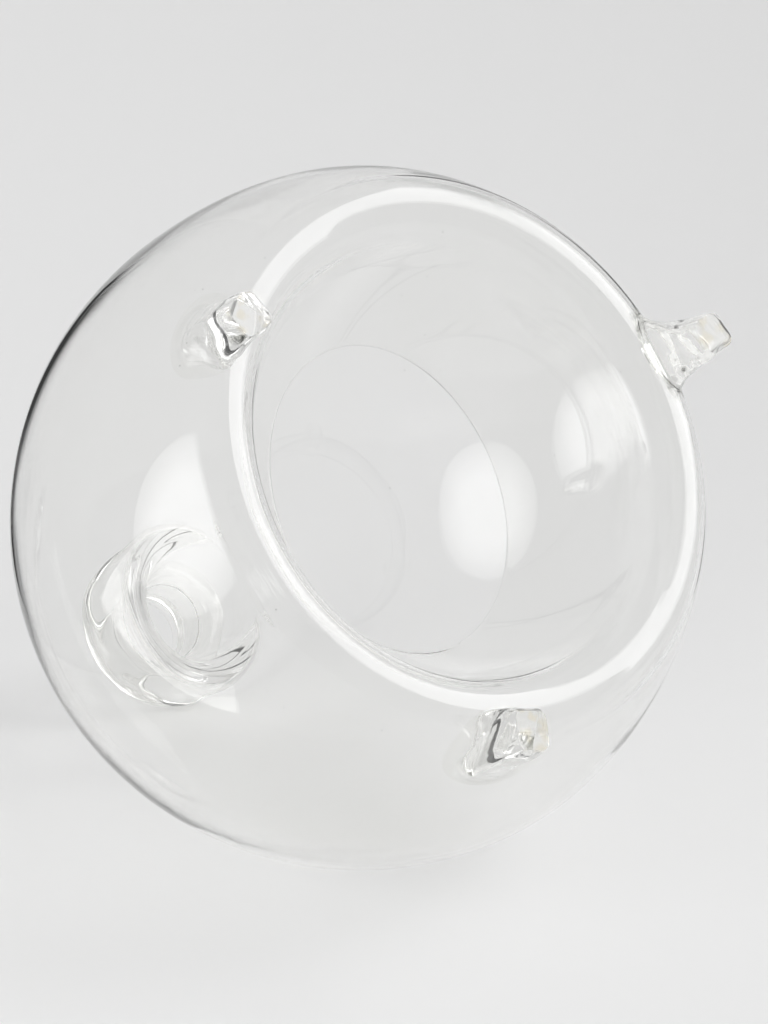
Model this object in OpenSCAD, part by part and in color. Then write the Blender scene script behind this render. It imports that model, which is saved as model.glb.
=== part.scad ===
// Mouth-blown glass fly trap. A globe stands on three applied feet. Its base is pushed up into an
// inner wall with an entry hole, which leaves a ring-shaped trough for the bait behind the rim.
// The neck on top has an applied collar and an open mouth for a stopper.
// Millimetres, +Z up, origin on the table under the globe's centre.

/* [Globe] */
// Outside diameter of the blown globe
globe_d = 165; // [150:1:180]
// Thickness of the globe's wall
wall = 2.4; // [1.8:0.1:3.2]

/* [Base opening] */
// Height of the rim's underside above the table
rim_lift = 13; // [9:0.5:16]
// Depth of the rim's underside below the globe's centre
rim_drop = 52; // [48:0.5:56]
// Outside radius of the rim's round fold
rim_round = 9; // [7:0.5:11]
// How far the inner wall draws in from the rim's fold to the entry hole
entry_in = 16.1; // [14:0.1:19]
// Height of the entry hole above the rim's underside
entry_rise = 35.5; // [30:0.5:42]
// Thickness of the bead round the entry hole
entry_bead = 3; // [2.6:0.1:4.5]

/* [Neck] */
// Height of the mouth above the top of the globe's sphere
neck_h = 41.5; // [36:0.5:50]
// Diameter of the mouth's straight bore
bore_d = 19.5; // [16:0.5:22]
// Thickness of the neck's wall
neck_wall = 4; // [3:0.1:5]
// Lean of the neck towards the mouth, in degrees
neck_lean = 14; // [6:1:18]
// Radius of the bend between the globe and the neck
shoulder_round = 13; // [9:0.5:18]

/* [Collar] */
// Outside diameter of the applied collar
collar_d = 47; // [42:0.5:54]
// Height of the collar
collar_h = 12; // [8:0.5:14]
// Height of the mouth above the collar
lip_h = 3; // [2:0.5:6]

/* [Feet] */
// Angle of each foot round the trap, in degrees: back, left, right
foot_angle = [92, 203, 336];
// Diameter of the pad by which each foot sticks to the globe
pad_d = [24, 21, 24];
// Angle of each pad's centre from straight down, seen from the globe's centre
pad_angle = [54, 52, 53];
// Width of each foot at its pinched end
foot_w = [8.7, 9, 9];
// Depth of each foot at its pinched end
foot_depth = [9, 8, 8.5];
// Distance of each foot's end outside its pad's centre
foot_out = [-0.5, -1.5, 3.5];
// Distance of each foot's end to the side of its pad's centre
foot_side = [2, 0, 3];
// Turn of each foot's pinch about its own length, in degrees
foot_twist = [0, 32, -8];

/* [Hidden] */
$fn = 180;
glass = [0.86, 0.9, 0.89, 0.45];

globe_r = globe_d / 2;
globe_z = rim_lift + rim_drop;
mouth_z = globe_z + globe_r + neck_h;

// The rim's fold is a round that touches the globe from inside.
fold_z = rim_lift + rim_round;
fold_r = sqrt(pow(globe_r - rim_round, 2) - pow(globe_z - fold_z, 2));
fold_angle = atan2(fold_z - globe_z, fold_r);

// The inner wall is a straight cone from its touching point on the fold to the bead of the entry hole.
fold = [fold_r, fold_z];
fold_middle = rim_round - wall / 2;
entry = [fold_r - fold_middle - entry_in, rim_lift + entry_rise];
entry_way = entry - fold;
entry_lean = atan2(entry_way.y, entry_way.x) + acos(fold_middle / norm(entry_way)) - 180;

// The collar sits on a straight seat round the neck.
bore_r = bore_d / 2;
neck_r = bore_r + neck_wall;
collar_top = mouth_z - lip_h;
seat_z = collar_top - collar_h;

// A foot's loft: rings along its length and points round each ring
foot_rings = 16;
foot_sides = 24;
// Depth of the loft's start in the glass on its outer and inner side, and below the table at its end
foot_sink = [1, 2];
foot_cut = 1;
// Where the foot's inner side starts on the rim's fold: degrees below level, past straight down
foot_root = 100;
// How far the foot's outer side draws in between the pad and the end
foot_waist = 4.3;
// Share of the length that the pad keeps its full width, and where the end's rounding starts
pad_share = 0.15;
round_share = 0.9;
// Share of the pinched end's size that its rounding takes off
end_round = 0.14;

// A point at a radius and an angle
function polar(r, a) = r * [cos(a), sin(a)];

// Centre, seen from the globe's centre, of the bend of radius bend that touches a ball of radius ball
// from outside and the neck's leaning side through the point at radius side and height up
function bend_centre(ball, bend, side, up) =
    let (start = [side, up] + polar(bend, neck_lean),
         along = polar(1, neck_lean + 90),
         half = start * along)
    start + along * (sqrt(half * half - start * start + pow(ball + bend, 2)) - half);

// A wedge of length reach between two angles less than a half turn apart
function wedge(reach, from, to) = [[0, 0], for (i = [0:3]) polar(reach, from + (to - from) * i / 3)];

// Filled outline of a globe with a leaning neck and a straight mouth of radius tube
module flask_area(ball, tube, bend, top) {
    c = bend_centre(ball, bend, tube, seat_z - globe_z);
    touch = c - polar(bend, neck_lean);
    translate([0, globe_z]) {
        intersection() {
            circle(r = ball);
            square([ball, ball]);
        }
        difference() {
            polygon([[0, 0], c, touch, [tube, seat_z - globe_z], [0, seat_z - globe_z]]);
            translate(c) circle(r = bend);
        }
    }
    translate([0, seat_z]) square([tube, top - seat_z]);
}

// Glass of the upper half: the globe's shoulder, the neck and the rounded lip of the mouth
module upper_section() {
    lip_z = mouth_z - neck_wall / 2;
    difference() {
        flask_area(globe_r, neck_r, shoulder_round, lip_z);
        flask_area(globe_r - wall, bore_r, shoulder_round + wall, mouth_z);
    }
    translate([neck_r - neck_wall / 2, lip_z]) circle(d = neck_wall);
}

// Filled outline of the lower globe and the rim's fold, drawn in by inset from the outside of the glass
module bowl_area(inset) {
    translate([0, globe_z]) intersection() {
        circle(r = globe_r - inset);
        polygon(wedge(2 * globe_r, fold_angle, 0));
    }
    translate(fold) intersection() {
        circle(r = rim_round - inset);
        translate([-globe_r, -globe_r]) square([2 * globe_r, globe_r]);
    }
}

// Glass of the lower half: the globe, the rim's fold, the inner wall and the bead of the entry hole.
// The fold's own glass ends where the inner wall touches it.
module lower_section() {
    across = polar(wall / 2, entry_lean);
    touch = fold - polar(fold_middle, entry_lean);
    difference() {
        union() {
            difference() {
                bowl_area(0);
                bowl_area(wall);
            }
            polygon([touch - across, touch + across, entry + across, entry - across]);
        }
        polygon([touch + across, fold, fold + [0, wall], entry + across]);
    }
    translate(entry) circle(d = entry_bead);
}

module blown_body() {
    color(glass) rotate_extrude() {
        upper_section();
        lower_section();
    }
}

module neck_collar() {
    bulge = collar_h / 2;
    color(glass) rotate_extrude() translate([0, seat_z]) {
        translate([neck_r, 0]) square([collar_d / 2 - bulge - neck_r, collar_h]);
        intersection() {
            translate([collar_d / 2 - bulge, bulge]) circle(r = bulge);
            translate([neck_r, 0]) square([collar_d, collar_h]);
        }
    }
}

// The lower globe and rim as one filled body, which a foot's pad is shaped to
module globe_fill() {
    rotate_extrude() bowl_area(0);
}

// A point of a foot's curved side, as radius and height, at the share u of its length
function rail(p, u) = pow(1 - u, 2) * p[0] + 2 * u * (1 - u) * p[1] + pow(u, 2) * p[2];

// How a share of the length between two limits runs from 0 to 1
function ramp(u, from, to) = max(0, min(1, (u - from) / (to - from)));

// A power that keeps the sign, for the rounded box of a ring
function keep_sign(x, e) = sign(x) * pow(abs(x), e);

// One ring of a foot between its two sides: round at the pad, a rounded box at the pinched end
function foot_ring(i, inner, outer, u) =
    let (c = (rail(outer, u) + rail(inner, u)) / 2,
         h = (rail(outer, u) - rail(inner, u)) / 2,
         pad_part = pow(1 - ramp(u, pad_share, 1), 5),
         w = (foot_w[i] + (pad_d[i] - foot_w[i]) * pad_part) / 2,
         e = 1 - 0.45 * ramp(u, pad_share, 0.6),
         size = 1 - end_round * pow(ramp(u, round_share, 1), 2),
         t = foot_twist[i] * ramp(u, pad_share, 0.7))
    [for (k = [0:foot_sides - 1])
        let (a = 360 * k / foot_sides,
             x = size * keep_sign(cos(a), e) * norm(h),
             y = size * keep_sign(sin(a), e) * w,
             q = [x * cos(t) - y * sin(t), x * sin(t) + y * cos(t)])
        [c.x + h.x / norm(h) * q.x, q.y + foot_side[i] * u, c.y + h.y / norm(h) * q.x]];

// Loft of foot i in the plane of its own radius
module foot_loft(i) {
    out = polar(1, pad_angle[i] - 90);
    along = polar(1, pad_angle[i] - 180);
    pad = [0, globe_z] + globe_r * out;
    tip = [pad.x + foot_out[i], -foot_cut];
    half = [foot_depth[i] / 2, 0];
    outer = [pad - pad_d[i] / 2 * along - foot_sink[0] * out,
             [tip.x + half.x - foot_waist, 0.73 * pad.y], tip + half];
    start = fold + polar(rim_round - foot_sink[1], -foot_root);
    inner = [start, (start + tip - half) / 2, tip - half];
    points = [for (k = [0:foot_rings]) each foot_ring(i, inner, outer, k / foot_rings)];
    last = foot_rings * foot_sides;
    sides = [for (k = [0:foot_rings - 1], j = [0:foot_sides - 1])
        let (n = (j + 1) % foot_sides, a = k * foot_sides, b = a + foot_sides)
        each [[a + j, b + j, b + n], [a + j, b + n, a + n]]];
    caps = [[for (j = [0:foot_sides - 1]) j], [for (j = [foot_sides - 1:-1:0]) last + j]];
    polyhedron(points, concat(sides, caps));
}

// Foot number i, shaped to the glass that it sticks to and flat where it stands
module foot(i) {
    table = 2 * globe_d;
    color(glass) difference() {
        rotate([0, 0, foot_angle[i]]) foot_loft(i);
        globe_fill();
        translate([-table / 2, -table / 2, -table]) cube(table);
    }
}

module foot_back() { foot(0); }
module foot_left() { foot(1); }
module foot_right() { foot(2); }

blown_body();
neck_collar();
foot_back();
foot_left();
foot_right();
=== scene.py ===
"""Glass fly trap lying on a pale sweep: hand-blown body, wound collar and pinched feet over the CAD frame."""

import math

import bpy
import numpy as np
from mathutils import Matrix, Vector, noise

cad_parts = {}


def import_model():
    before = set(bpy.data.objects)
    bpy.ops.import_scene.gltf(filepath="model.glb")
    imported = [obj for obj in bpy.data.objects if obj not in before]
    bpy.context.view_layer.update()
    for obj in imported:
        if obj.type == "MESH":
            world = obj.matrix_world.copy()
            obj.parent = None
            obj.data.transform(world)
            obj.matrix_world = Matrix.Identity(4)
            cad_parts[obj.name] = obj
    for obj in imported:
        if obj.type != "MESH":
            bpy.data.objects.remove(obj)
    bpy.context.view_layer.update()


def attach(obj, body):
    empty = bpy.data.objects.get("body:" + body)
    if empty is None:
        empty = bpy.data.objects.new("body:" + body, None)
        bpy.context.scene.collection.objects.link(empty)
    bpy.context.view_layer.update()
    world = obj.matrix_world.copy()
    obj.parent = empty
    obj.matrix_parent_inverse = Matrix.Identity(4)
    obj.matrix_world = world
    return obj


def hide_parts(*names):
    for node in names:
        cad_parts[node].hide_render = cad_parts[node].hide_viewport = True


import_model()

MM = 0.001

# Sizes in millimetres, as in the part's source
GLOBE_R = 82.5
RIM_LIFT = 13.0
RIM_DROP = 52.0
RIM_ROUND = 9.0
NECK_H = 41.5
BORE_R = 9.75
NECK_WALL = 4.0
NECK_LEAN = 14.0
SHOULDER_ROUND = 13.0
COLLAR_R = 23.5
COLLAR_H = 12.0
LIP_H = 3.0

# The wall and the edge of the entry hole are thinner than in the source, as the photo shows them
WALL = 1.1
HOLE_EDGE = 0.9

GLOBE_Z = RIM_LIFT + RIM_DROP
MOUTH_Z = GLOBE_Z + GLOBE_R + NECK_H
FOLD_Z = RIM_LIFT + RIM_ROUND
FOLD_R = math.sqrt((GLOBE_R - RIM_ROUND) ** 2 - (GLOBE_Z - FOLD_Z) ** 2)
FOLD_ANGLE = math.degrees(math.atan2(FOLD_Z - GLOBE_Z, FOLD_R))
NECK_R = BORE_R + NECK_WALL
SEAT_Z = MOUTH_Z - LIP_H - COLLAR_H
CENTRE = Vector((0, 0, GLOBE_Z * MM))

# The entry hole, cut by hand a little oval: half its length and width, its turn and its place
HOLE_LONG = 37.5
HOLE_SHORT = 30.9
HOLE_TURN = 79.0
HOLE_SHIFT = (-0.3, 0.8)
HOLE_Z = 48.5
# Lean of the inner wall where it leaves the rim's fold, as a share of a straight cone's lean
CONE_SHARE = 0.55

# How far the blown globe stands off its axis near its middle
LEAN_X = 0.3
LEAN_Y = 2.0
# How much thicker the globe's wall grows away from the camera on one side of the photo, which darkens its
# outline there, and the direction of that side, counted to the photo's right and down
TAPER = 0.4
TAPER_SIDE = (-0.82, -0.57)

# Waves in the blown glass, in millimetres, each with its turns round the trap and its pitch: of the whole
# form, of both faces together, of the wall's thickness, of the inner face, and of drawn lines on the fold
FORM = dict(size=0.15, seed=3, modes=[(2, 400), (3, 260), (1, 300)])
SKIN = dict(size=0.03, seed=5, modes=[(5, 70), (7, -55), (9, 90), (4, -40)])
THICKNESS = dict(size=0.1, seed=7, modes=[(1, 200), (2, -120), (3, 90)])
RIPPLE = dict(size=0.04, seed=11, modes=[(6, 60), (8, -45), (11, 80)])
STREAKS = dict(size=0.02, seed=13, modes=[(2, 1.9), (3, 2.7), (-2, 3.6)])
# Heights between which the form's waves and the globe's lean come in and fade out, heights over which the
# streaks end, and radii over which the globe's lean and taper come in
FORM_SPAN = (20, 45, 140, 165)
LEAN_SPAN = (25, 60, 95, 140)
STREAKS_END = (18, 30)
LEAN_START = (55, 75)
TAPER_START = (52, 62)
BODY_COLUMNS = 240
WALL_STEPS = 28

# Depth of the collar's seat in the neck, distance from the neck over which its lumps come in, and the size
# and count per millimetre of its lumps and of the smaller dents in them
COLLAR_SINK = 0.5
COLLAR_CALM = 3
COLLAR_LUMP, COLLAR_LUMP_PITCH = 0.6, 0.07
COLLAR_DENT, COLLAR_DENT_PITCH = 0.12, 0.2
COLLAR_DENT_SHIFT = Vector((7, 3, 1))
COLLAR_COLUMNS = 144

# Overlap of a foot with the glass it sticks to, and where it starts on the rim's fold, in degrees
FOOT_SINK = 0.4
FOOT_ROOT = 100.0
# Thickness of a foot's pad where the pinched block stands on it
PAD_THICK = 1.6
# Depth in the glass at which a foot's outer and inner side start
PAD_START = 1.0
ROOT_START = 2.0
# Shares of a foot's length over which its pad rises from the glass and draws in, its corners square up, it
# twists, its dents come in and its end rounds off
PAD_RISES = (0, 0.35)
PAD_DRAWS_IN = (0.08, 0.6)
SQUARES_UP = (0.1, 0.5)
TWISTS = (0.15, 0.7)
DENTS_START = (0.3, 0.6)
ROUNDS_OFF = (0.93, 1)
# Powers by which the block and the pad draw in, how square the block is, and the share of its size that
# the rounding of its end takes
BLOCK_POWER = 1.5
PAD_POWER = 3
SQUARE = 0.6
END_ROUND = 0.1
# Dents of the block as a share of its size, their count per millimetre, and the length they run along it
DENTS = 0.07
DENT_PITCH = 0.35
DENT_LENGTH = 14
FOOT_RINGS, FOOT_SIDES, FOOT_CAPS = 72, 64, 8
FOOT_SHARP_DEG = 40

# Each foot: its angle round the trap, its pad's diameter and angle from straight down, its pinched block's
# width at the end and at the pad, its depth, how far the end stands outside and beside the pad's centre,
# and its twist in degrees
FEET = {
    "foot_back": dict(angle=92, pad_d=24, pad_angle=54,
                      w=8.7, base_w=10.5, depth=9.5, out=-0.5, side=2, twist=0),
    "foot_left": dict(angle=203, pad_d=21, pad_angle=52,
                      w=9, base_w=14, depth=9, out=-1.5, side=0, twist=32),
    "foot_right": dict(angle=336, pad_d=26, pad_angle=53,
                       w=9.5, base_w=25, depth=9, out=2.5, side=3, twist=-8),
}

# The photo's camera, in the part's own frame: where it stands from the globe's centre, its axes, its lens,
# and how steeply it looks down on the table
CAM_FROM_CENTRE = Vector((-312.7, 146.5, -513.5)) * MM
CAM_RIGHT = Vector((0.8576, 0.1414, -0.4944)).normalized()
CAM_FORWARD = Vector((0.5142, -0.2358, 0.8246)).normalized()
CAM_UP = CAM_RIGHT.cross(CAM_FORWARD).normalized()
CAM_LENS = 91.2
CAM_SENSOR = 36
CAM_HEIGHT_DEG = 19.7

# The glass: clouds of colour, small dark seeds, and dirt on the ends of the feet. Counts are per metre and
# ranges are those of the noise. A seed is dark up to its first radius and gone at the second. Dirt is full
# up to its first height and gone at the second.
GLASS_IOR = 1.5
CLOUDS_PER_M = 25
CLOUD_RANGE = (0.4, 0.7)
SEEDS_PER_M = 140
SEED_R = (0.1, 0.22)
SEED = (0.35, 0.35, 0.33)
STAINS_PER_M = 320
STAIN_RANGE = (0.5, 0.62)
STAIN_TOP = (0.2, 1.5)
STAIN = (0.93, 0.86, 0.7)

# The sweep, in metres from under the globe's centre: its colour, the places along its floor up to where it
# bends, the bend's radius, the height above the bend, and its left and right edge
SWEEP_COLOUR = (0.86, 0.86, 0.86)
SWEEP_FLOOR = (-0.55, -0.2, 0.0, 0.13)
SWEEP_BEND = 0.16
SWEEP_TALL = 0.75
SWEEP_SIDES = (-0.15, 0.42)
SWEEP_STEPS = 24
SWEEP_COLUMNS = 9
# Room between the sweep and the trap's lowest point, in millimetres
SWEEP_CLEAR = 0.1

# Brightness of the room and of the gap behind on the left, the gap's angle from straight back in
# degrees, the sine of half its width, the cosines to straight back between which it ends in front, the
# sine of its top's height, and how far its top fades
ROOM = 0.67
ROOM_DARK = 0.09
GAP_TURN = 20.0
GAP_HALF = 0.065
GAP_FRONT = (0.3, 0.1)
GAP_TOP = 0.0
GAP_FADE = 0.06

# The two lamps: direction to the photo's right, down and away, distance and size in metres, brightness
UMBRELLA = dict(way=(-0.772, 0.05, -0.634), distance=0.6, shape="ELLIPSE", size=(0.42, 0.56), radiance=2.6)
WINDOW = dict(way=(0.829, -0.558, -0.013), distance=3.0, shape="RECTANGLE", size=(2.4, 2.6), radiance=2.1)
# Brightness at the umbrella's rim as a share of its middle's
UMBRELLA_RIM = 0.3

# Bounces after which light is lost: of all kinds, reflections, and clear surfaces. Light caught in the
# glass wall is reflected many times before it comes out.
BOUNCES = 64
REFLECTIONS = 20
SEE_THROUGH = 16


def polar(r, degrees):
    a = math.radians(degrees)
    return np.array([r * math.cos(a), r * math.sin(a)])


def angle_of(v):
    return math.degrees(math.atan2(v[1], v[0]))


def arc(centre, r, start, end, n):
    """Points along an arc in n steps, without the last one."""
    return [centre + polar(r, start + (end - start) * i / n) for i in range(n)]


def straight(a, b, n):
    """Points along a line in n steps, without the last one."""
    return [np.array(a) + (np.array(b) - np.array(a)) * i / n for i in range(n)]


def ramp(u, start, end):
    """Share from 0 to 1 of the way between two values."""
    return min(1.0, max(0.0, (u - start) / (end - start)))


def smooth_step(x, low, high):
    """Share from 0 to 1 that comes in softly between two values."""
    t = np.clip((x - low) / (high - low), 0, 1)
    return t * t * (3 - 2 * t)


def within(x, rise_from, rise_to, fall_from, fall_to):
    """Share that comes in between two values and fades out between two others."""
    return smooth_step(x, rise_from, rise_to) * (1 - smooth_step(x, fall_from, fall_to))


def from_camera(x, y, z):
    """A direction given to the photo's right, down and away from the camera, in the part's frame."""
    return (CAM_RIGHT * x - CAM_UP * y + CAM_FORWARD * z).normalized()


def floor_axes():
    """Right, back and up of the table on which the trap lies in the photo."""
    a = math.radians(CAM_HEIGHT_DEG)
    up = (CAM_UP * math.cos(a) - CAM_FORWARD * math.sin(a)).normalized()
    back = up.cross(CAM_RIGHT).normalized()
    return CAM_RIGHT, back, up


def make_mesh(name, verts, faces):
    """New object with smooth shading."""
    mesh = bpy.data.meshes.new(name)
    mesh.from_pydata([tuple(v) for v in verts], [], faces)
    mesh.validate()
    mesh.update()
    mesh.polygons.foreach_set("use_smooth", [True] * len(mesh.polygons))
    obj = bpy.data.objects.new(name, mesh)
    bpy.context.scene.collection.objects.link(obj)
    return obj


def ring_faces(rows, cols, closed):
    """Quads of a grid whose rows close on themselves, and whose last row joins the first if closed."""
    last = rows if closed else rows - 1
    faces = []
    for k in range(last):
        a, b = k * cols, ((k + 1) % rows) * cols
        for j in range(cols):
            n = (j + 1) % cols
            faces.append((a + j, b + j, b + n, a + n))
    return faces


def bend_centre(ball, bend, side, up):
    """Centre of the bend between a ball and the neck's leaning side, seen from the globe's centre."""
    start = np.array([side, up]) + polar(bend, NECK_LEAN)
    along = polar(1, NECK_LEAN + 90)
    half = start @ along
    return start + along * (math.sqrt(half * half - start @ start + (ball + bend) ** 2) - half)


def hole_radius(phi):
    """Radius of the oval entry hole in a direction round the trap."""
    a = phi - math.radians(HOLE_TURN)
    oval = HOLE_LONG * HOLE_SHORT / math.hypot(HOLE_SHORT * math.cos(a), HOLE_LONG * math.sin(a))
    return oval + HOLE_SHIFT[0] * math.cos(phi) + HOLE_SHIFT[1] * math.sin(phi)


def entry_wall(phi):
    """Arc of the inner wall's middle from the rim's fold to the edge of the hole: centre, radius, angles."""
    bead = np.array([hole_radius(phi) + HOLE_EDGE / 2, HOLE_Z])
    fold = np.array([FOLD_R, FOLD_Z])
    middle = RIM_ROUND - WALL / 2
    away = bead - fold
    cone_lean = angle_of(away) + math.degrees(math.acos(middle / np.linalg.norm(away))) - 180
    lean = CONE_SHARE * cone_lean
    reach = bead - fold + polar(middle, lean)
    r = (reach @ reach) / (-2 * reach @ polar(1, lean))
    centre = bead - reach - polar(r, lean)
    return centre, r, lean, angle_of(bead - centre)


def wall_side(wall, side):
    """One side of the inner wall from the rim's fold to the hole, thinning towards the hole's edge."""
    centre, r, start, end = wall
    n = WALL_STEPS
    thin = [WALL + (HOLE_EDGE - WALL) * (i / n) ** 2 for i in range(n + 1)]
    return [centre + polar(r + side * thin[i] / 2, start + (end - start) * i / n) for i in range(n + 1)]


def body_profile(phi):
    """Closed section of the blown wall in one direction, as radius and height, and 1 for each inner point."""
    up = np.array([0, GLOBE_Z])
    lip_z = MOUTH_Z - NECK_WALL / 2
    out_bend, in_bend = SHOULDER_ROUND, SHOULDER_ROUND + WALL
    out_c = bend_centre(GLOBE_R, out_bend, NECK_R, SEAT_Z - GLOBE_Z)
    in_c = bend_centre(GLOBE_R - WALL, in_bend, BORE_R, SEAT_Z - GLOBE_Z)
    out_touch = out_c - polar(out_bend, NECK_LEAN) + up
    in_touch = in_c - polar(in_bend, NECK_LEAN) + up
    fold = np.array([FOLD_R, FOLD_Z])
    wall = entry_wall(phi)
    wall_c, wall_r, lean, end = wall
    bead = wall_c + polar(wall_r, end)
    # The last number of each stretch is its count of steps
    outside = (
        straight((NECK_R, lip_z), (NECK_R, SEAT_Z), 14)
        + straight((NECK_R, SEAT_Z), out_touch, 12)
        + arc(out_c + up, out_bend, 180 + NECK_LEAN, angle_of(-out_c) % 360, 20)
        + arc(up, GLOBE_R, angle_of(out_c), FOLD_ANGLE, 100)
        + arc(fold, RIM_ROUND, FOLD_ANGLE, lean - 180, 120)
        + wall_side(wall, -1)[:-1]
        + arc(bead, HOLE_EDGE / 2, end + 180, end, 16)
    )
    inside = (
        wall_side(wall, 1)[:0:-1]
        + arc(fold, RIM_ROUND - WALL, lean - 180, FOLD_ANGLE, 30)
        + arc(up, GLOBE_R - WALL, FOLD_ANGLE, angle_of(in_c), 100)
        + arc(in_c + up, in_bend, angle_of(-in_c) % 360, 180 + NECK_LEAN, 22)
        + straight(in_touch, (BORE_R, SEAT_Z), 12)
        + straight((BORE_R, SEAT_Z), (BORE_R, lip_z), 14)
    )
    lip = arc(np.array([NECK_R - NECK_WALL / 2, lip_z]), NECK_WALL / 2, 180, 0, 16)
    inner = np.array([0] * len(outside) + [1] * len(inside) + [0] * len(lip))
    return np.array(outside + inside + lip), inner


def profile_normals(points):
    """Outward normals of a closed section that runs clockwise with the glass on its right."""
    t = np.roll(points, -1, 0) - np.roll(points, 1, 0)
    n = np.stack([-t[:, 1], t[:, 0]], 1)
    return n / np.linalg.norm(n, axis=1)[:, None]


def waves(phi, z, size, seed, modes):
    """Sum of a few smooth waves round and up the glass, at most about size millimetres."""
    rng = np.random.RandomState(seed)
    total = np.zeros(np.broadcast(phi, z).shape)
    for turns, pitch in modes:
        phase, share = rng.uniform(0, 2 * math.pi), rng.uniform(0.6, 1.0)
        total += share * np.cos(turns * phi + 2 * math.pi * z / pitch + phase)
    return size * total / len(modes)


def taper(r, phi, z):
    """Thickness that the globe's wall gains behind its outline on one side and loses on the other."""
    place = np.stack([r * np.cos(phi), r * np.sin(phi), z - GLOBE_Z], -1) / GLOBE_R
    return TAPER * (place @ np.array(CAM_FORWARD)) * (place @ np.array(from_camera(*TAPER_SIDE, 0)))


def blown_body():
    """The blown bubble, a little out of round and of uneven thickness, as one closed wall."""
    angles = [2 * math.pi * j / BODY_COLUMNS for j in range(BODY_COLUMNS)]
    sections = [body_profile(a) for a in angles]
    points = np.stack([section[0] for section in sections], 1)
    normals = np.stack([profile_normals(section[0]) for section in sections], 1)
    inner = sections[0][1][:, None]
    phi = np.array(angles)[None, :]
    r, z = points[:, :, 0], points[:, :, 1]
    steps = np.diff(points, axis=0, prepend=points[:1])
    around = np.cumsum(np.linalg.norm(steps, axis=2), axis=0)
    form = waves(phi, z, **FORM) * within(z, *FORM_SPAN)
    skin = waves(phi, z, **SKIN)
    thickness = waves(phi, z, **THICKNESS) + taper(r, phi, z) * smooth_step(r, *TAPER_START)
    ripple = waves(phi, z, **RIPPLE)
    streaks = waves(phi, around, **STREAKS) * (1 - smooth_step(z, *STREAKS_END))
    move = form + skin + streaks * (1 - inner) + inner * (thickness + ripple)
    rr = r + normals[:, :, 0] * move
    zz = z + normals[:, :, 1] * move
    lean = within(z, *LEAN_SPAN) * smooth_step(r, *LEAN_START)
    x = rr * np.cos(phi) + LEAN_X * lean
    y = rr * np.sin(phi) + LEAN_Y * lean
    verts = np.stack([x, y, zz], -1).reshape(-1, 3) * MM
    return make_mesh("blown_glass_body", verts, ring_faces(len(points), BODY_COLUMNS, True))


def collar_lump(p):
    """How far the collar's skin stands out at a point."""
    lump = noise.noise(p * COLLAR_LUMP_PITCH) * COLLAR_LUMP
    return lump + noise.noise(p * COLLAR_DENT_PITCH + COLLAR_DENT_SHIFT) * COLLAR_DENT


def neck_collar():
    """The glass ring wound round the neck: an uneven round bead."""
    bulge = COLLAR_H / 2
    seat = NECK_R - COLLAR_SINK
    top_z = SEAT_Z + COLLAR_H
    section = (
        straight((seat, SEAT_Z), (COLLAR_R - bulge, SEAT_Z), 10)
        + arc(np.array([COLLAR_R - bulge, SEAT_Z + bulge]), bulge, -90, 90, 30)
        + straight((COLLAR_R - bulge, top_z), (seat, top_z), 10)
        + straight((seat, top_z), (seat, SEAT_Z), 14)
    )
    points = np.array(section)[::-1]
    normals = profile_normals(points)
    verts = []
    for (r, z), (nr, nz) in zip(points, normals):
        free = smooth_step(r, NECK_R, NECK_R + COLLAR_CALM)
        for j in range(COLLAR_COLUMNS):
            a = 2 * math.pi * j / COLLAR_COLUMNS
            d = free * collar_lump(Vector((r * math.cos(a), r * math.sin(a), z)))
            rr = r + nr * d
            verts.append((rr * math.cos(a) * MM, rr * math.sin(a) * MM, (z + nz * d) * MM))
    return make_mesh("wound_collar", verts, ring_faces(len(points), COLLAR_COLUMNS, True))


def rail(p, u):
    """A foot's side from the pad's edge round the corner point to the pinched end."""
    return (1 - u) ** 3 * p[0] + 3 * u * (1 - u) * p[1] + u ** 3 * p[2]


def to_glass(p, rise):
    """A point of a foot, at most FOOT_SINK deep in the glass, its height over it cut to the share rise."""
    r = math.hypot(p[0], p[1])
    if angle_of((r, p[2] - GLOBE_Z)) > FOLD_ANGLE:
        centre, size = (0.0, GLOBE_Z), GLOBE_R
    else:
        centre, size = (FOLD_R, FOLD_Z), RIM_ROUND
    dr, dz = r - centre[0], p[2] - centre[1]
    far = math.hypot(dr, dz)
    seat = size - FOOT_SINK
    grow = (seat + max(0.0, far - seat) * rise) / far
    nr = centre[0] + dr * grow
    return (p[0] * nr / r, p[1] * nr / r, centre[1] + dz * grow)


def foot_rails(spec):
    """A foot's outer and inner side in the plane of its own radius, each by three points."""
    out = polar(1, spec["pad_angle"] - 90)
    along = polar(1, spec["pad_angle"] - 180)
    pad = np.array([0, GLOBE_Z]) + GLOBE_R * out
    tip = np.array([pad[0] + spec["out"], 0.0])
    half = np.array([spec["depth"] / 2, 0])
    face = tip[0] + half[0]
    corner = np.array([face, GLOBE_Z - math.sqrt(GLOBE_R ** 2 - face ** 2)]) + PAD_THICK * out
    outer = [pad - spec["pad_d"] / 2 * along - PAD_START * out, corner, tip + half]
    start = np.array([FOLD_R, FOLD_Z]) + polar(RIM_ROUND - ROOT_START, -FOOT_ROOT)
    inner = [start, (start + tip - half) / 2, tip - half]
    return outer, inner


def foot_half_width(spec, u):
    """Half of a foot's width at the share u of its length: a round pad that draws in to the block."""
    block_w = spec["w"] + (spec["base_w"] - spec["w"]) * (1 - u) ** BLOCK_POWER
    return (block_w + (spec["pad_d"] - block_w) * (1 - ramp(u, *PAD_DRAWS_IN)) ** PAD_POWER) / 2


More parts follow.
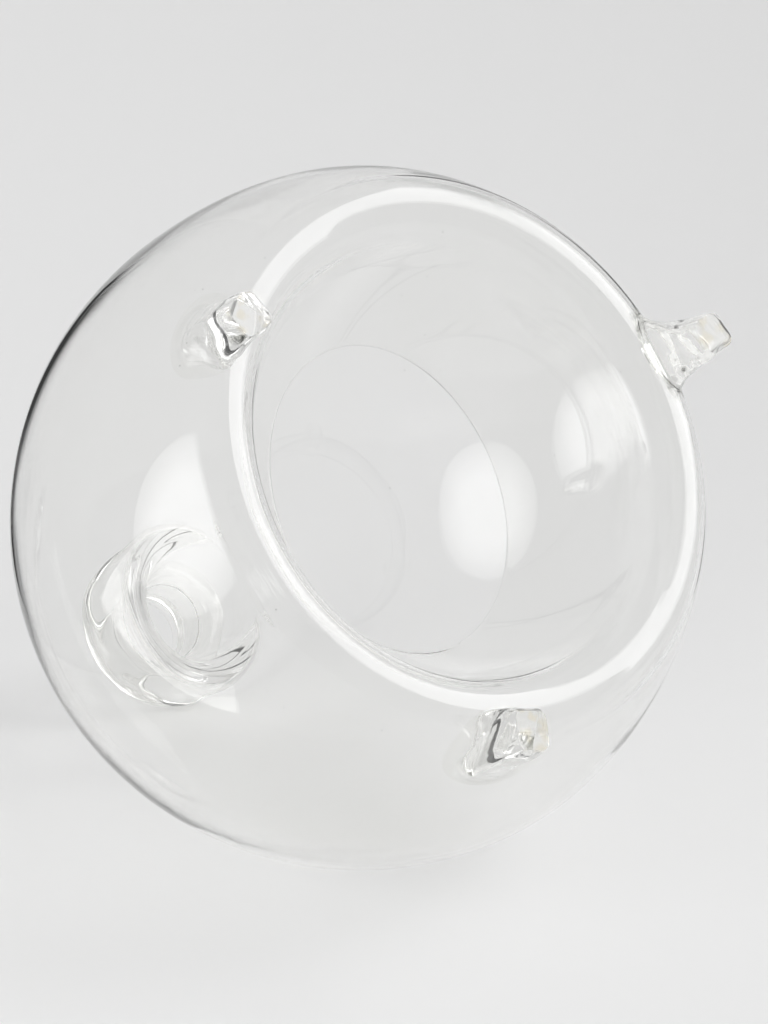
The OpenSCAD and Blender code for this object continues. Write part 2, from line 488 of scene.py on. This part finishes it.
def foot_ring(spec, rails, u, share):
    """Points of a foot's ring at the share u of its length, drawn in to a share of its size."""
    o, i = rail(rails[0], u), rail(rails[1], u)
    c, h = (o + i) / 2, (o - i) / 2
    length = np.linalg.norm(h)
    h = h / length
    w = foot_half_width(spec, u)
    e = 1 - SQUARE * ramp(u, *SQUARES_UP)
    size = share * (1 - END_ROUND * ramp(u, *ROUNDS_OFF) ** 2)
    t = math.radians(spec["twist"]) * ramp(u, *TWISTS)
    uneven = DENTS * ramp(u, *DENTS_START)
    rise = ramp(u, *PAD_RISES)
    turn = math.radians(spec["angle"])
    shift = Vector((spec["angle"], 0, 0))
    ring = []
    for j in range(FOOT_SIDES):
        a = 2 * math.pi * j / FOOT_SIDES
        ca, sa = math.cos(a), math.sin(a)
        x = size * math.copysign(abs(ca) ** e, ca) * length
        y = size * math.copysign(abs(sa) ** e, sa) * w
        dent = 1 + uneven * noise.noise(Vector((x, y, DENT_LENGTH * u)) * DENT_PITCH + shift)
        x, y = dent * x, dent * y
        x, y = x * math.cos(t) - y * math.sin(t), x * math.sin(t) + y * math.cos(t)
        px, py, pz = c[0] + h[0] * x, y + spec["side"] * u, c[1] + h[1] * x
        ring.append(to_glass((px * math.cos(turn) - py * math.sin(turn),
                              px * math.sin(turn) + py * math.cos(turn), pz), rise))
    return ring


def foot(name, spec):
    """One applied foot: a thin pad on the globe that runs out into a pinched block with a flat end."""
    rails = foot_rails(spec)
    points = []
    for k in range(-FOOT_CAPS, FOOT_RINGS + FOOT_CAPS + 1):
        u = min(max(k, 0), FOOT_RINGS) / FOOT_RINGS
        share = 1 - max(-k, k - FOOT_RINGS, 0) / (FOOT_CAPS + 0.5)
        points += foot_ring(spec, rails, u, share)
    count = FOOT_RINGS + 2 * FOOT_CAPS + 1
    faces = ring_faces(count, FOOT_SIDES, False)
    faces.append(tuple(range(FOOT_SIDES)))
    faces.append(tuple((count - 1) * FOOT_SIDES + j for j in range(FOOT_SIDES - 1, -1, -1)))
    obj = make_mesh("pinched_" + name, np.array(points) * MM, faces)
    obj.data.set_sharp_from_angle(angle=math.radians(FOOT_SHARP_DEG))
    return obj


def texture(nt, kind, scale, where):
    """A procedural texture of a given scale per metre, in the part's own frame."""
    node = nt.nodes.new(kind)
    node.inputs["Scale"].default_value = scale
    nt.links.new(where, node.inputs["Vector"])
    return node


def blend(nt, share, first, second):
    """Colour that mixes two colours by a share; the first may be a socket."""
    mix = nt.nodes.new("ShaderNodeMix")
    mix.data_type = "RGBA"
    nt.links.new(share, mix.inputs[0])
    if isinstance(first, tuple):
        mix.inputs[6].default_value = (*first, 1)
    else:
        nt.links.new(first, mix.inputs[6])
    mix.inputs[7].default_value = (*second, 1)
    return mix.outputs[2]


def limits(nt, value, low, high, start=0.0, end=1.0):
    """Value that runs from start to end while another runs from low to high."""
    node = nt.nodes.new("ShaderNodeMapRange")
    node.inputs["From Min"].default_value = low
    node.inputs["From Max"].default_value = high
    node.inputs["To Min"].default_value = start
    node.inputs["To Max"].default_value = end
    nt.links.new(value, node.inputs["Value"])
    return node.outputs["Result"]


def combine(nt, operation, *values):
    """Math node on one or two values."""
    node = nt.nodes.new("ShaderNodeMath")
    node.operation = operation
    for socket, value in zip(node.inputs, values):
        nt.links.new(value, socket)
    return node.outputs["Value"]


def dirt(nt, where):
    """Share of old dirt, in patches on the ends that the feet stand on."""
    axes = nt.nodes.new("ShaderNodeSeparateXYZ")
    nt.links.new(where, axes.inputs[0])
    patch = texture(nt, "ShaderNodeTexNoise", STAINS_PER_M, where)
    full, gone = STAIN_TOP
    low = limits(nt, axes.outputs["Z"], gone * MM, full * MM)
    return combine(nt, "MULTIPLY", low, limits(nt, patch.outputs["Fac"], *STAIN_RANGE))


def glass(name, tint, cloud_tint, waves_per_m, wave_depth, dirty):
    """Clear glass with faint clouds of colour, small seeds, shallow waves, and dirt where it stands."""
    mat = bpy.data.materials.new(name)
    mat.use_nodes = True
    nt = mat.node_tree
    p = nt.nodes["Principled BSDF"]
    p.inputs["Transmission Weight"].default_value = 1.0
    p.inputs["IOR"].default_value = GLASS_IOR
    p.inputs["Roughness"].default_value = 0.0
    where = nt.nodes.new("ShaderNodeTexCoord").outputs["Object"]
    cloud = texture(nt, "ShaderNodeTexNoise", CLOUDS_PER_M, where)
    colour = blend(nt, limits(nt, cloud.outputs["Fac"], *CLOUD_RANGE), tint, cloud_tint)
    dots = texture(nt, "ShaderNodeTexVoronoi", SEEDS_PER_M, where)
    dark, gone = (SEEDS_PER_M * r * MM for r in SEED_R)
    colour = blend(nt, limits(nt, dots.outputs["Distance"], gone, dark), colour, SEED)
    if dirty:
        colour = blend(nt, dirt(nt, where), colour, STAIN)
    nt.links.new(colour, p.inputs["Base Color"])
    wave = texture(nt, "ShaderNodeTexNoise", waves_per_m, where)
    bump = nt.nodes.new("ShaderNodeBump")
    bump.inputs["Distance"].default_value = wave_depth
    nt.links.new(wave.outputs["Fac"], bump.inputs["Height"])
    nt.links.new(bump.outputs["Normal"], p.inputs["Normal"])
    return mat


def sweep_material():
    """Pale paper, seen from its lit side only."""
    mat = bpy.data.materials.new("pale_sweep")
    mat.use_nodes = True
    nt = mat.node_tree
    nt.nodes.remove(nt.nodes["Principled BSDF"])
    face = nt.nodes.new("ShaderNodeBsdfDiffuse")
    face.inputs["Color"].default_value = (*SWEEP_COLOUR, 1)
    clear = nt.nodes.new("ShaderNodeBsdfTransparent")
    side = nt.nodes.new("ShaderNodeNewGeometry")
    mix = nt.nodes.new("ShaderNodeMixShader")
    nt.links.new(side.outputs["Backfacing"], mix.inputs[0])
    nt.links.new(face.outputs[0], mix.inputs[1])
    nt.links.new(clear.outputs[0], mix.inputs[2])
    nt.links.new(mix.outputs[0], nt.nodes["Material Output"].inputs["Surface"])
    return mat


def sweep(pieces):
    """Floor that curves up into a backdrop, under the trap as it lies in the photo."""
    right, back, up = floor_axes()
    low = min(up.dot(v.co - CENTRE) for piece in pieces for v in piece.data.vertices)
    origin = CENTRE + up * (low - SWEEP_CLEAR * MM)
    start, bend = SWEEP_FLOOR[-1], SWEEP_BEND
    line = [(y, 0.0) for y in SWEEP_FLOOR]
    line += [(start + bend * math.sin(a), bend - bend * math.cos(a))
             for a in (math.radians(90 * i / SWEEP_STEPS) for i in range(1, SWEEP_STEPS + 1))]
    line += [(start + bend, bend + SWEEP_TALL)]
    wide = np.linspace(*SWEEP_SIDES, SWEEP_COLUMNS)
    verts = [origin + right * x + back * y + up * z for y, z in line for x in wide]
    n = SWEEP_COLUMNS
    faces = [(k * n + j, k * n + j + 1, (k + 1) * n + j + 1, (k + 1) * n + j)
             for k in range(len(line) - 1) for j in range(n - 1)]
    obj = make_mesh("pale_sweep", verts, faces)
    obj.data.materials.append(sweep_material())


def area_light(name, way, distance, shape, size, radiance):
    """A soft light of a given brightness, aimed at the globe's centre and level with the floor."""
    direction = from_camera(*way)
    light = bpy.data.lights.new(name, "AREA")
    light.shape = shape
    light.size, light.size_y = size
    area = size[0] * size[1] * (math.pi / 4 if shape == "ELLIPSE" else 1)
    light.energy = radiance * math.pi * area
    obj = bpy.data.objects.new(name, light)
    bpy.context.scene.collection.objects.link(obj)
    level = floor_axes()[2].cross(direction).normalized()
    m = Matrix((level, direction.cross(level), direction)).transposed().to_4x4()
    m.translation = CENTRE + direction * distance
    obj.matrix_world = m
    return light


def soft_edge(light, rim_share):
    """Let a lamp's brightness fall off from halfway out to a share of it at the rim."""
    light.use_nodes = True
    nt = light.node_tree
    # A lamp's own coordinates run from 0 to 1, so that its rim is 0.5 from its middle
    off = nt.nodes.new("ShaderNodeVectorMath")
    off.operation = "DISTANCE"
    off.inputs[1].default_value = (0.5, 0.5, 0)
    nt.links.new(nt.nodes.new("ShaderNodeNewGeometry").outputs["Parametric"], off.inputs[0])
    strength = limits(nt, off.outputs["Value"], 0.25, 0.5, 1.0, rim_share)
    nt.links.new(strength, nt.nodes["Emission"].inputs["Strength"])


def towards(nt, direction):
    """Cosine between the view and a direction."""
    where = nt.nodes.new("ShaderNodeTexCoord")
    dot = nt.nodes.new("ShaderNodeVectorMath")
    dot.operation = "DOT_PRODUCT"
    dot.inputs[1].default_value = direction
    nt.links.new(where.outputs["Generated"], dot.inputs[0])
    return dot.outputs["Value"]


def world():
    """An even room with a dark low gap between the backdrop and the wall on the left."""
    w = bpy.data.worlds.new("studio")
    bpy.context.scene.world = w
    w.use_nodes = True
    nt = w.node_tree
    right, back, up = floor_axes()
    a = math.radians(GAP_TURN)
    off_gap = combine(nt, "ABSOLUTE", towards(nt, right * math.cos(a) + back * math.sin(a)))
    beside = limits(nt, off_gap, GAP_HALF, 2 * GAP_HALF)
    in_front = limits(nt, towards(nt, back), *GAP_FRONT)
    above = limits(nt, towards(nt, up), GAP_TOP, GAP_TOP + GAP_FADE)
    not_gap = combine(nt, "MAXIMUM", combine(nt, "MAXIMUM", beside, in_front), above)
    strength = limits(nt, not_gap, 0, 1, ROOM_DARK, ROOM)
    nt.links.new(strength, nt.nodes["Background"].inputs["Strength"])
    nt.nodes["Background"].inputs["Color"].default_value = (1, 1, 1, 1)


def camera():
    """The photo's camera, as the scene's own."""
    cam = bpy.data.cameras.new("photo_camera")
    cam.lens = CAM_LENS
    cam.sensor_width = CAM_SENSOR
    obj = bpy.data.objects.new("photo_camera", cam)
    bpy.context.scene.collection.objects.link(obj)
    m = Matrix((CAM_RIGHT, CAM_UP, -CAM_FORWARD)).transposed().to_4x4()
    m.translation = CENTRE + CAM_FROM_CENTRE
    obj.matrix_world = m
    bpy.context.scene.camera = obj


blown_glass = glass("blown_glass", tint=(0.988, 0.988, 0.984), cloud_tint=(0.978, 0.979, 0.972),
                    waves_per_m=60, wave_depth=0.02 * MM, dirty=False)
tooled_glass = glass("tooled_glass", tint=(0.982, 0.982, 0.974), cloud_tint=(0.965, 0.966, 0.952),
                     waves_per_m=150, wave_depth=0.04 * MM, dirty=True)

body = blown_body()
body.data.materials.append(blown_glass)
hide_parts("blown_body")
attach(body, "root")

collar = neck_collar()
collar.data.materials.append(tooled_glass)
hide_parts("neck_collar")
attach(collar, "root")

pieces = [body, collar]
for foot_name, foot_spec in FEET.items():
    piece = foot(foot_name, foot_spec)
    piece.data.materials.append(tooled_glass)
    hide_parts(foot_name)
    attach(piece, "root")
    pieces.append(piece)

sweep(pieces)
camera()
world()
soft_edge(area_light("umbrella", **UMBRELLA), UMBRELLA_RIM)
area_light("window", **WINDOW)

scene = bpy.context.scene
scene.view_settings.view_transform = "Standard"
scene.cycles.max_bounces = BOUNCES
scene.cycles.transmission_bounces = BOUNCES
scene.cycles.glossy_bounces = REFLECTIONS
scene.cycles.transparent_max_bounces = SEE_THROUGH
scene.cycles.blur_glossy = 0.0
